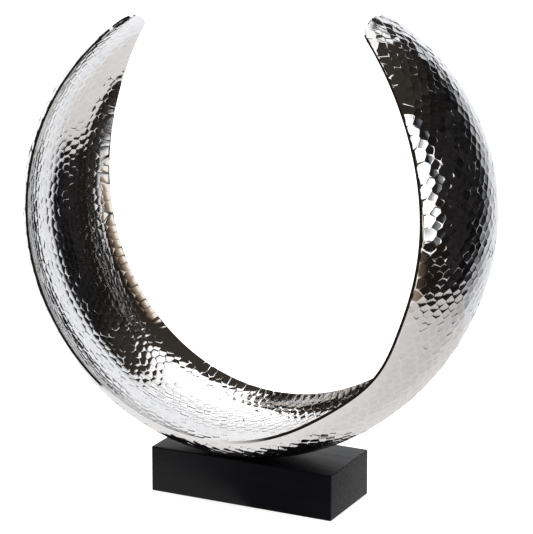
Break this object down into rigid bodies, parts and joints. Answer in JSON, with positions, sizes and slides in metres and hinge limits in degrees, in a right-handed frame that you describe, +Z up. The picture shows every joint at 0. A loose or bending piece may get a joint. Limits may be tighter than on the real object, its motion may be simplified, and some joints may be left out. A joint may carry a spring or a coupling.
{
  "type": "abstract sculpture",
  "caption": "Hammered, mirror-polished metal crescent, an open ring of curved sheet tapering to rounded tips, fixed upright on a low black wooden plinth.",
  "frame": {"origin": "on the surface it stands on, below the middle of the whole object's box", "axes": "+Z up, -Y towards the front, +X to the right seen from the front; the ring's axis runs along Y"},
  "size_m": [0.4892, 0.1668, 0.4954],
  "materials": {
    "polished_metal": "mirror-polished over hammer marks",
    "black_wood": "satin black stain, open grain"
  },
  "bodies": {
    "root": {"hammered_crescent": "polished_metal", "plinth": "black_wood"}
  },
  "joints": []
}
